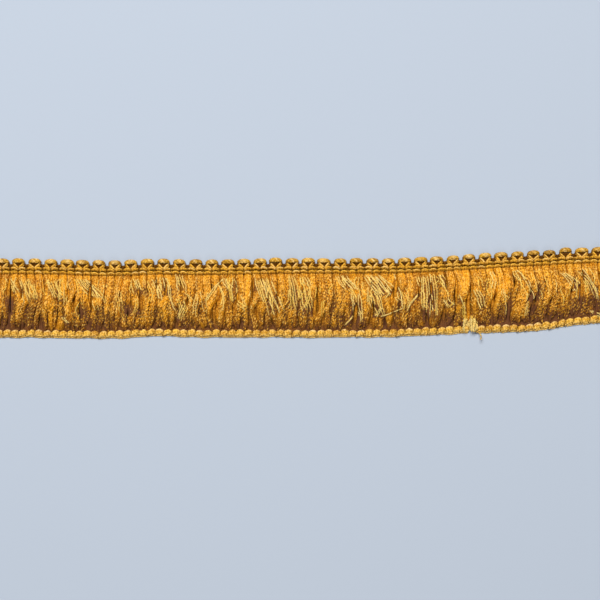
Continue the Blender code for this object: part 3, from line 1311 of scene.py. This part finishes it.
                points = np.column_stack([x, self.across(down), z])
                # Painted shade from the hollows, the hem and the fans over the tuft, and for a tuft that
                # lies low; a proud tuft is painted lighter
                depth = self.fade(x, down) + place.depth + 0.10 - 0.22 * proud
                depth += self.fan_shade * self.shade(x, down)
                own = float(np.clip(tint + rng.normal(0.0, 0.3), -1.0, 1.0))
                made.append(Tuft(down, points, radius, np.clip(depth, -0.2, 1.0), own))
        return made

    def fade(self, x: np.ndarray, down: np.ndarray) -> np.ndarray:
        """How much painted shade the brush carries at a place, from its hollows, its hem and the heading.

        Args:
            x: Places along the trim.
            down: Shares of the way down the brush.

        Returns:
            The depth that its strands carry there.
        """
        place = x / MM
        # The edge of the shade over the hem rises and falls along the trim
        rim = down + 0.045 * np.sin(TURN * (place / 13.7 + 0.2)) + 0.04 * np.sin(TURN * (place / 5.3 + 0.6))
        dusk = 0.18 * ease(down, 0.12, 0.62) + 0.32 * ease(rim, 0.46, 0.86) + 0.24 * ease(rim, 0.78, 0.95)
        # Painted shade in the hollows, and painted light where a hollow's shade is below 0
        patches = self.patch_shade * sum(row.shade * row.share(x, down) for row in self.hollows)
        patches = patches + sum(row.shade * row.share(x, down) for row in self.dents)
        # A painted shadow just under the heading, then painted light on the locks' tops below it
        root = 0.6 * (1.0 - ease(down, 0.0, 0.03)) - 0.15 * (1.0 - ease(down, 0.08, 0.30))
        return root + dusk + patches

    def shade(self, x: np.ndarray, down: np.ndarray) -> np.ndarray:
        """How far a place lies in the shade of the fans, from 0 to 1."""
        covers = (fan.cover(x, down) for fan in self.fans)
        return np.minimum(sum(covers), 1.0)

    def yarn(self, tuft: Tuft, relief: Relief, number: int, rng: np.random.Generator) -> Strand:
        """One crimped yarn of the brush's face.

        Args:
            tuft: The tuft that it lies on.
            relief: The face's height.
            number: Which of the tuft's yarns it is.
            rng: Where its unevenness comes from.

        Returns:
            The yarn, a crimped strand.
        """
        end = rng.uniform(0.84, 1.0) * tuft.down[-1]
        count = int(end * (self.root_line - self.hem_line) / self.crimp_step)
        down = np.linspace(0.0, end, count)
        loose = ease(down, 0.10, 0.75)
        share = (number + 0.5) / self.yarns_per_tuft - 0.5
        home = share * 2.0 * self.yarn_reach + rng.normal(0.0, self.yarn_shift)
        x = np.interp(down, tuft.down, tuft.points[:, 0]) + home * (1.0 - 0.1 * ease(down, 0.7, 1.0))
        x += loose * self.straying * wave(rng, down, 1.6) * rng.choice([0.5, 1.0, 2.2], p=[0.5, 0.35, 0.15])
        radius = self.crimp_radius * rng.uniform(0.8, 1.25)
        lift = rng.uniform(-0.25, 0.6) * radius + self.yarn_waver * loose * wave(rng, down, 3.0)
        shade = self.shade(x, down)
        sunk = relief.sunk(x, down)
        z = relief.top(x, down) + lift + 0.35 * loose * sunk - self.fan_dent * shade
        path = np.column_stack([x, self.across(down), np.maximum(z, 3.0 * radius)])
        crimp = self.crimp * rng.uniform(0.7, 1.3) * (0.45 + 0.55 * loose)
        lead = self.crimp_lead * rng.uniform(0.8, 1.3)
        path = self.trim.lay(path)
        line = twisted(path, 1, crimp[:, None], lead, rng.uniform(0.0, TURN), Ply.Z)[0]
        low = dip(line, path, crimp) - 0.5
        # The low side of each crimp carries painted shade and a darker tint, and a sunk place more painted
        # shade
        depth = np.interp(down, tuft.down, tuft.depth) - 0.1 + self.crimp_shade * low
        depth = depth + np.clip(self.sunk_shade * sunk, -0.1, 0.35)
        tint = tuft.tint + rng.normal(0.0, 0.9) + 0.45 * wave(rng, down, 5.0) - 1.5 * low
        tint = np.clip(tint, -1.4, 1.4) * (1.0 - 0.5 * ease(down, 0.75, 0.92))
        pale = float(rng.beta(0.6, 5.0)) * (1.0 - 0.5 * ease(down, 0.7, 0.95))
        thin = radius * (1.0 - 0.4 * ease(down, end - 0.06, end))
        return Strand(line, thin, tint, np.clip(depth, 0.0, 0.9), pale)

    def back_locks(self) -> list[Strand]:
        """Lay the soft tufts of the back locks, under the front ones and on the table.

        Returns:
            The tufts, laid in turn low down and close under the face.
        """
        rng = np.random.default_rng(self.seed + 1)
        strands = []
        profile = Profile(self.sections, "down")
        for column in range(self.trim.stitches * self.back_tufts):
            whole = np.linspace(0.0, 1.0, self.back_points)
            home = (column + 0.5) * self.trim.pitch / self.back_tufts - self.trim.length / 2
            x = home + self.back_sway * wave(rng, whole, 1.5) * np.sin(math.pi * whole)
            radius = np.full(self.back_points, self.back_radius) * (1.0 + 0.08 * wave(rng, whole, 3.0))
            raised = profile.read("crown", whole) * MM - self.back_drop
            level = np.maximum(raised if column % 2 else 0.0 * raised, self.back_low)
            height = np.maximum(level, radius + self.back_clear)
            points = self.trim.lay(np.column_stack([x, self.across(whole), height]))
            # The back locks lie under the front ones and carry painted shade
            depth = 0.24 + 0.9 * self.fade(x, whole)
            strands.append(Strand(points, radius, rng.uniform(-0.6, 0.3), np.clip(depth, 0.0, 1.0)))
        return strands

    def fanned(self, fan: Fan, number: int, relief: Relief, rng: np.random.Generator) -> list[Strand]:
        """One yarn of a fan, a twisted pair of plies.

        Args:
            fan: The fan.
            number: Which of the fan's yarns it is.
            relief: The height of the brush's face.
            rng: Where its unevenness comes from.

        Returns:
            Its two plies.
        """
        share = (number + 0.5 + rng.uniform(-0.3, 0.3)) / fan.count - 0.5
        uneven = (fan.end - fan.start) * (fan.count > 1)
        start = fan.start + rng.uniform(-0.08, 0.06) * uneven
        end = fan.end + rng.uniform(-0.25, 0.06) * uneven
        run = math.hypot(fan.sideways * MM, self.across(end) - self.across(start))
        count = max(8, int(run / self.ply_step))
        t = np.linspace(0.0, 1.0, count)
        down = start + (end - start) * t
        open_out = 0.8 + 0.2 * ease(t, 0.0, 0.6)
        x = fan.middle(t) + fan.spacing * fan.count * share * open_out
        x = (x + self.fan_sway * wave(rng, t, 1.6)) * MM
        tuck = 1.0 - ease(t, 0.0, 0.08) * (1.0 - ease(t, 0.90, 1.0))
        held = np.clip(down, 0.0, 1.0)
        over = self.fan_height + fan.lift + self.fan_waver * wave(rng, t, 2.0)
        z = relief.top(x, held) + over * MM - self.fan_tuck * tuck
        path = self.trim.lay(np.column_stack([x, self.across(down), np.maximum(z, 0.5 * MM)]))
        pale = float(np.clip(fan.pale * rng.uniform(0.5, 1.1), 0.0, 1.0))
        radius = self.ply_radius * rng.uniform(0.8, 1.15)
        phase = rng.uniform(0.0, TURN)
        lead = self.ply_lead * rng.uniform(0.85, 1.2)
        circle = self.ply_circle * radius / self.ply_radius
        strands = []
        for line in twisted(path, 2, circle, lead, phase, Ply.Z):
            low = dip(line, path, circle)
            # The fan's yarns carry painted shade over the brush's shade, at their tucked ends and on the
            # lower ply; the upper ply is painted lighter and paler
            dusk = (0.6 - 0.55 * fan.pale) * self.fade(x, held)
            depth = np.clip(dusk + 0.4 * tuck + 0.25 * low - 0.15, 0.0, 0.85)
            strands.append(Strand(line, radius, 1.3 - 0.9 * low, depth, pale * (1.0 - 0.4 * low)))
        return strands

    @cached_property
    def scattered(self) -> list[Fan]:
        """Strew fans evenly along the trim, between the ones that are listed.

        Returns:
            The fans.
        """
        rng = np.random.default_rng(self.seed + 3)
        half = self.trim.length / 2 / MM - 4.0
        made = []
        for along in np.linspace(-half, half, self.random_fans):
            start = rng.uniform(0.02, 0.45)
            made.append(
                Fan(
                    along=along + rng.normal(0.0, 1.2),
                    start=start,
                    sideways=rng.normal(0.6, 1.6),
                    end=start + rng.uniform(0.18, 0.5),
                    count=int(rng.integers(1, 3)),
                    pale=rng.uniform(0.1, 0.7),
                    bow=rng.normal(0.0, 0.9),
                )
            )
        return made

    def build(self) -> list[bpy.types.Object]:
        """Make the brush in pieces.

        Returns:
            The back locks, the front locks, the crimped yarns in three pieces, and the fans that
            are listed and those that are scattered.
        """
        tufts = self.tufts()
        relief = Relief(tufts, self.trim.length)
        bodies = [Strand(self.trim.lay(tuft.points), tuft.radius, tuft.tint, tuft.depth) for tuft in tufts]
        rng = np.random.default_rng(self.seed + 2)
        third = self.trim.length / 6
        yarns: dict[str, list[Strand]] = {"left": [], "middle": [], "right": []}
        for tuft in tufts:
            # A tuft that lies under the others carries no yarns
            face = relief.top(tuft.points[:1, 0], tuft.down[:1])[0]
            if tuft.points[0, 2] < face - 2.2 * tuft.radius[0]:
                continue
            home = tuft.points[0, 0]
            side = "left" if home < -third else "right" if home > third else "middle"
            yarns[side].extend(self.yarn(tuft, relief, number, rng) for number in range(self.yarns_per_tuft))
        fans = {"placed": self.fans, "scattered": self.scattered}
        pieces = [
            self.loom.weave("brush_back_locks", self.back_locks(), 7),
            self.loom.weave("brush_front_locks", bodies, 8),
        ]
        pieces += [self.loom.weave(f"brush_yarns_{side}", strands, 3) for side, strands in yarns.items()]
        for kind, rows in fans.items():
            plies: list[Strand] = []
            for fan in rows:
                for number in range(fan.count):
                    plies += self.fanned(fan, number, relief, rng)
            pieces.append(self.loom.weave(f"brush_{kind}_fans", plies, 3))
        return pieces

    def dress(self, pieces: list[bpy.types.Object]) -> None:
        """Give the locks, the yarns and the fans their finishes.

        Args:
            pieces: The brush's pieces, each with its kind in its name.
        """
        finishes = {"locks": LOCK_YARN, "yarns": CRIMPED_YARN, "fans": STRAY_YARN}
        materials = {word: finish.material() for word, finish in finishes.items()}
        for piece in pieces:
            word = next(word for word in finishes if word in piece.name)
            hand_over(piece, materials[word], "brush")


@dataclass
class HoldingChain:
    """The chain of fat stitches along the hem, broken at one place."""

    @dataclass(frozen=True)
    class Cord:
        """A twisted cord that runs through the chain, and how far in from the outer one it lies."""

        inward: float
        height: float
        plies: int
        circle: float
        lead: float
        radius: float
        pale: float

    trim: Trim
    loom: Loom
    plies: int = 11
    points: int = 10
    half_length: float = 2.5 * MM
    fat: float = 1.05 * MM
    arch: float = 1.05 * MM
    neck: float = 0.30 * MM
    ply_radius: float = 0.37 * MM
    slant: float = 12.0
    raised: float = 0.30 * MM
    height: float = 1.55 * MM
    flatness: float = 0.92
    turned_in: float = 0.7
    core_share: float = 0.8
    uneven_line: float = 0.20 * MM
    uneven_place: float = 0.12 * MM
    cord_line: float = 1.42 * MM
    cord_sway: float = 0.22 * MM
    cords: tuple[Cord, ...] = (
        Cord(0.0 * MM, 0.58 * MM, 2, 0.16 * MM, 3.2 * MM, 0.22 * MM, 0.45),
        Cord(1.05 * MM, 1.20 * MM, 4, 0.38 * MM, 5.0 * MM, 0.42 * MM, 0.2),
    )
    seed: int = 53

    def bead(self, column: int, rng: np.random.Generator) -> list[Strand]:
        """One stitch of the chain, its plies swelling round its middle.

        Args:
            column: Which stitch it is.
            rng: Where its unevenness comes from.

        Returns:
            Its plies.
        """
        t = np.linspace(-1.0, 1.0, self.points)
        slant = math.radians(self.slant + rng.normal(0.0, 4.0))
        line = self.trim.chain_line + self.raised + rng.normal(0.0, self.uneven_line)
        place = self.trim.stitch_x(column) + rng.normal(0.0, self.uneven_place)
        centre = np.array([place, line, self.height])
        axis = np.array([math.cos(slant), math.sin(slant), 0.0])
        path = centre + self.half_length * t[:, None] * axis
        path[:, 1] += self.arch * (0.45 - t * t)
        swell = self.neck + (self.fat * rng.uniform(0.88, 1.12) - self.neck) * (1 - t * t) ** 0.75
        phase = rng.uniform(0.0, TURN)
        tint = rng.normal(0.0, 0.5)
        pale_and_highlight = rng.beta(0.6, 1.6)
        strands = []
        for number in range(self.plies):
            turned = phase + TURN * number / self.plies
            angle = turned + self.turned_in * t
            upwards = self.flatness * swell * np.sin(angle)
            offset = np.column_stack([np.zeros_like(t), swell * np.cos(angle), upwards])
            points = self.trim.lay(path + offset)
            upper = max(0.0, math.cos(turned))
            lower = max(0.0, -math.cos(turned))
            # Painted shade on the bead's ends, between the beads, and on the plies that face away from the
            # light; painted highlight on the upper rim; the lower side is painted lighter, against the shade
            # that falls on it
            depth = 0.95 * np.abs(t) ** 1.8 + 0.2 * (1.0 - upper) - 0.1
            radius = self.ply_radius * (1 - 0.45 * t**4)
            pale = np.clip((0.2 + pale_and_highlight) * upper**1.5 * (1.0 - t * t), 0.0, 1.0)
            shown = tint + rng.uniform(-0.5, 0.6) + 0.8 * lower
            strands.append(Strand(points, radius, shown, depth - 0.30 * lower, pale + 0.30 * lower))
        # The hidden core carries painted shade
        core = Strand(self.trim.lay(path), self.core_share * swell, depth=0.6)
        return [core, *strands]

    def under_cords(self, first: int, last: int) -> list[Strand]:
        """The thin cord along the chain's outer side, and the one that its stitches hold.

        Args:
            first: The stitch where they start.
            last: The stitch where they end.

        Returns:
            The plies of both.
        """
        rng = np.random.default_rng(self.seed + first)
        share = np.linspace(0.0, 1.0, (last - first + 1) * 5)
        x = self.trim.stitch_x(first - 0.4) + share * self.trim.pitch * (last - first + 0.8)
        y = self.trim.chain_line - self.cord_line + self.cord_sway * wave(rng, share, 30.0)
        outer = self.trim.lay(np.column_stack([x, y, np.zeros_like(x)]))
        strands = []
        for cord in self.cords:
            path = outer + np.array([0.0, cord.inward, cord.height])
            plies = twisted(path, cord.plies, cord.circle, cord.lead, 0.0, Ply.S)
            # The cords are painted lighter and paler, against the shade that the beads cast on them
            strands += [Strand(line, cord.radius, tint=1.0, pale=cord.pale) for line in plies]
        return strands

    def build(self) -> dict[str, bpy.types.Object]:
        """Make the chain's two runs.

        Returns:
            Each run by the name of the solid that it stands for.
        """
        rng = np.random.default_rng(self.seed)
        broken = self.trim.broken_stitch
        runs = {
            "holding_chain_left": (0, broken - 1),
            "holding_chain_right": (broken + 1, self.trim.stitches - 1),
        }
        made = {}
        for node, (first, last) in runs.items():
            strands = self.under_cords(first, last)
            for column in range(first, last + 1):
                strands.extend(self.bead(column, rng))
            made[node] = self.loom.weave(f"{node}_stitches", strands, 5)
        return made

    def dress(self, pieces: dict[str, bpy.types.Object]) -> None:
        """Give the chain its yarn.

        Args:
            pieces: Each run by the name of the solid that it stands for.
        """
        material = CHAIN_YARN.material()
        for node, piece in pieces.items():
            hand_over(piece, material, node)


@dataclass
class Studio:
    """The pale floor, the soft light and the camera straight above."""

    @dataclass(frozen=True)
    class Lamp:
        """A square soft light that faces the trim: its place, side, power and colour."""

        name: str
        place: tuple[float, float, float]
        size: float
        watts: float
        colour: Colour

    lamps: tuple[Lamp, ...] = (
        Lamp("key", (-0.25, 0.75, 1.75), 0.8, 49.5, (1.0, 0.98, 0.95)),
        Lamp("fill", (0.3, -1.4, 1.4), 1.0, 4.6, (1.0, 0.96, 0.90)),
    )
    sky_colour: Colour = (0.98, 0.95, 0.92)
    sky_strength: float = 0.207
    view_width: float = 288.6 * MM
    view_centre: float = -14.2 * MM
    lens: float = 85.0
    sensor: float = 36.0
    face_height: float = 3.0 * MM
    floor_size: float = 6.0
    floor_drop: float = 0.05 * MM
    floor_colour: Colour = (0.387, 0.443, 0.530)

    def floor(self) -> None:
        """Lay the floor just under the trim."""
        bpy.ops.object.select_all(action="DESELECT")
        bpy.ops.mesh.primitive_plane_add(size=self.floor_size, location=(0.0, 0.0, -self.floor_drop))
        plane = bpy.context.object
        plane.name = "floor"
        material = bpy.data.materials.new("pale_floor")
        material.use_nodes = True
        shader = material.node_tree.nodes["Principled BSDF"]
        shader.inputs["Base Color"].default_value = (*self.floor_colour, 1.0)
        shader.inputs["Roughness"].default_value = 0.9
        shader.inputs["Specular IOR Level"].default_value = 0.1
        plane.data.materials.append(material)

    def hang(self, lamp: Lamp) -> None:
        """Add one of the lights.

        Args:
            lamp: The light.
        """
        data = bpy.data.lights.new(lamp.name, "AREA")
        data.size = lamp.size
        data.energy = lamp.watts
        data.color = lamp.colour
        light = bpy.data.objects.new(lamp.name, data)
        light.location = lamp.place
        light.rotation_euler = (-light.location).to_track_quat("-Z", "Y").to_euler()
        bpy.context.scene.collection.objects.link(light)

    def build(self) -> None:
        """Set the floor, the lights, the sky and the camera."""
        scene = bpy.context.scene
        self.floor()
        for lamp in self.lamps:
            self.hang(lamp)
        world = bpy.data.worlds.new("soft_sky")
        world.use_nodes = True
        background = world.node_tree.nodes["Background"]
        background.inputs["Color"].default_value = (*self.sky_colour, 1.0)
        background.inputs["Strength"].default_value = self.sky_strength
        scene.world = world
        scene.view_settings.view_transform = "Standard"
        data = bpy.data.cameras.new("camera")
        data.lens = self.lens
        data.sensor_width = self.sensor
        camera = bpy.data.objects.new("camera", data)
        distance = self.view_width * self.lens / self.sensor
        camera.location = (0.0, self.view_centre, self.face_height + distance)
        scene.collection.objects.link(camera)
        scene.camera = camera


def main() -> None:
    """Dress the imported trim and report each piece."""
    logging.basicConfig(level=logging.INFO, format="%(name)s: %(message)s")
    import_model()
    Studio().build()
    trim, loom = Trim(), Loom()
    for part in (GimpCord(trim, loom), CrochetBand(trim, loom), Brush(trim, loom), HoldingChain(trim, loom)):
        part.dress(part.build())


if __name__ == "__main__":
    main()
